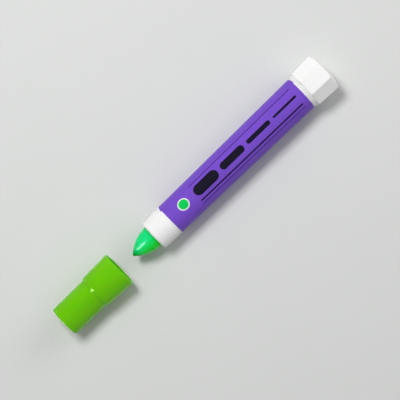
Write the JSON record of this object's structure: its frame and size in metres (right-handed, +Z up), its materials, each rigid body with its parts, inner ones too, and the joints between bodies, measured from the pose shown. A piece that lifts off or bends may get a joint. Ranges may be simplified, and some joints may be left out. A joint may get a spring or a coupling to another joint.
{
  "type": "solid paint marker",
  "caption": "Twist-up solid paint marker: white barrel with a wrapped label, bullet-shaped paint stick fed by a screw from a faceted end knob, and a translucent push-on cap.",
  "frame": {"origin": "on the surface that the marker lies on, under the middle of the length of marker and drawn-off cap", "axes": "+X along the marker's axis from the cap to the twist knob, +Z up"},
  "size_m": [0.1542, 0.0182, 0.0181],
  "materials": {
    "white_plastic": "satin white moulding",
    "label_film": "purple film with a soft gloss",
    "green_paint": "solid paint, waxy and slightly wet",
    "cap_plastic": "translucent green, glossy",
    "natural_plastic": "uncoloured moulding",
    "seal_rubber": "black, matte"
  },
  "bodies": {
    "barrel": {"barrel": "white_plastic", "label": "label_film", "rear_bush": "natural_plastic"},
    "knob": {"knob": "white_plastic", "spindle": "natural_plastic", "spindle_seal": "seal_rubber"},
    "paint": {"stick_holder": "natural_plastic", "paint_stick": "green_paint"},
    "cap": {"cap": "cap_plastic"}
  },
  "joints": [
    {"name": "knob_turn", "type": "hinge", "parent": "barrel", "child": "knob", "pos_m": [0.0646, 0, 0.00905], "axis": [-1, 0, 0], "range_deg": [-1080, 360]},
    {"name": "paint_feed", "type": "slide", "parent": "barrel", "child": "paint", "axis": [-1, 0, 0], "range_m": [-0.012, 0.004]},
    {"name": "cap_slide", "type": "slide", "parent": "barrel", "child": "cap", "axis": [1, 0, 0], "range_m": [0, 0.0334]}
  ],
  "couplings": [
    {"joint": "paint_feed", "follows": "knob_turn", "m_per_rad": 0.00063661}
  ]
}
